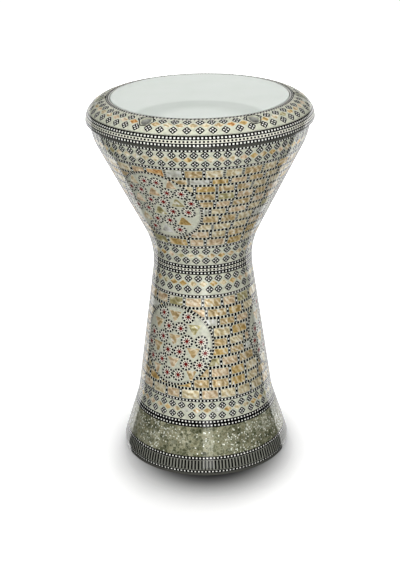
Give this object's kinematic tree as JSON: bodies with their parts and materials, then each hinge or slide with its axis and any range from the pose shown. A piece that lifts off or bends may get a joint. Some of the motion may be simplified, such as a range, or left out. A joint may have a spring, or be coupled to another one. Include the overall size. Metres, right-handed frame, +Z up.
{
  "type": "goblet drum",
  "caption": "Goblet drum with mosaic-faced cast shell, synthetic head in a hoop, and a domed tuning ring drawn down by socket screws.",
  "frame": {"origin": "centre of the foot rim, on the surface that the drum stands on", "axes": "+Z up along the drum's axis, from foot to head; -Y is the side that the picture shows"},
  "size_m": [0.2754, 0.2754, 0.4599],
  "materials": {
    "cast_metal": "lacquered cast aluminium, bare at the edges",
    "frieze_inlay": "friezes of black and white lozenges and pearl in pale resin under clear gloss lacquer",
    "dotted_inlay": "black and ivory dotted and striped marquetry under clear gloss lacquer",
    "pearl_brick_inlay": "tan mother-of-pearl bricks in dotted mortar under clear gloss lacquer",
    "rosette_inlay": "round panels of red, white and black rosettes with pearl triangles under clear gloss lacquer",
    "flake_pearl": "crushed grey-green mother-of-pearl in resin under clear gloss lacquer",
    "film_plastic": "smooth translucent white polyester film",
    "hoop_metal": "plain rolled aluminium channel",
    "bead_resin": "cast resin",
    "screw_steel": "dull plated steel"
  },
  "bodies": {
    "drum": {"shell": "cast_metal", "top_frieze": "frieze_inlay", "bowl_mosaic": "pearl_brick_inlay", "bowl_medallion_1": "rosette_inlay", "bowl_medallion_2": "rosette_inlay", "bowl_medallion_3": "rosette_inlay", "upper_waist_frieze": "frieze_inlay", "waist_strip": "dotted_inlay", "lower_waist_frieze": "frieze_inlay", "stem_mosaic": "pearl_brick_inlay", "stem_medallion_1": "rosette_inlay", "stem_medallion_2": "rosette_inlay", "stem_medallion_3": "rosette_inlay", "foot_frieze": "frieze_inlay", "foot_pearl_band": "flake_pearl", "foot_stripe_band": "dotted_inlay", "head_film": "film_plastic", "head_hoop": "hoop_metal", "hoop_resin": "bead_resin"},
    "ring": {"tuning_ring": "cast_metal", "ring_face": "frieze_inlay", "ring_strip": "dotted_inlay"},
    "screw_1": {"tension_screw_1": "screw_steel"},
    "screw_2": {"tension_screw_2": "screw_steel"},
    "screw_3": {"tension_screw_3": "screw_steel"},
    "screw_4": {"tension_screw_4": "screw_steel"},
    "screw_5": {"tension_screw_5": "screw_steel"},
    "screw_6": {"tension_screw_6": "screw_steel"}
  },
  "joints": [
    {"name": "ring_lift", "type": "slide", "parent": "drum", "child": "ring", "axis": [0, 0, 1], "range_m": [0, 0.006]},
    {"name": "screw_turn_1", "type": "hinge", "parent": "ring", "child": "screw_1", "pos_m": [0.06025, -0.10436, 0.4455], "axis": [0, 0, 1], "range_deg": [0, 2165]},
    {"name": "screw_turn_2", "type": "hinge", "parent": "ring", "child": "screw_2", "pos_m": [0.1205, 0, 0.4455], "axis": [0, 0, 1], "range_deg": [0, 2165]},
    {"name": "screw_turn_3", "type": "hinge", "parent": "ring", "child": "screw_3", "pos_m": [0.06025, 0.10436, 0.4455], "axis": [0, 0, 1], "range_deg": [0, 2165]},
    {"name": "screw_turn_4", "type": "hinge", "parent": "ring", "child": "screw_4", "pos_m": [-0.06025, 0.10436, 0.4455], "axis": [0, 0, 1], "range_deg": [0, 2165]},
    {"name": "screw_turn_5", "type": "hinge", "parent": "ring", "child": "screw_5", "pos_m": [-0.1205, 0, 0.4455], "axis": [0, 0, 1], "range_deg": [0, 2165]},
    {"name": "screw_turn_6", "type": "hinge", "parent": "ring", "child": "screw_6", "pos_m": [-0.06025, -0.10436, 0.4455], "axis": [0, 0, 1], "range_deg": [0, 2165]}
  ],
  "couplings": [
    {"joint": "screw_turn_1", "follows": "ring_lift", "rad_per_m": 6283.2},
    {"joint": "screw_turn_2", "follows": "ring_lift", "rad_per_m": 6283.2},
    {"joint": "screw_turn_3", "follows": "ring_lift", "rad_per_m": 6283.2},
    {"joint": "screw_turn_4", "follows": "ring_lift", "rad_per_m": 6283.2},
    {"joint": "screw_turn_5", "follows": "ring_lift", "rad_per_m": 6283.2},
    {"joint": "screw_turn_6", "follows": "ring_lift", "rad_per_m": 6283.2}
  ]
}
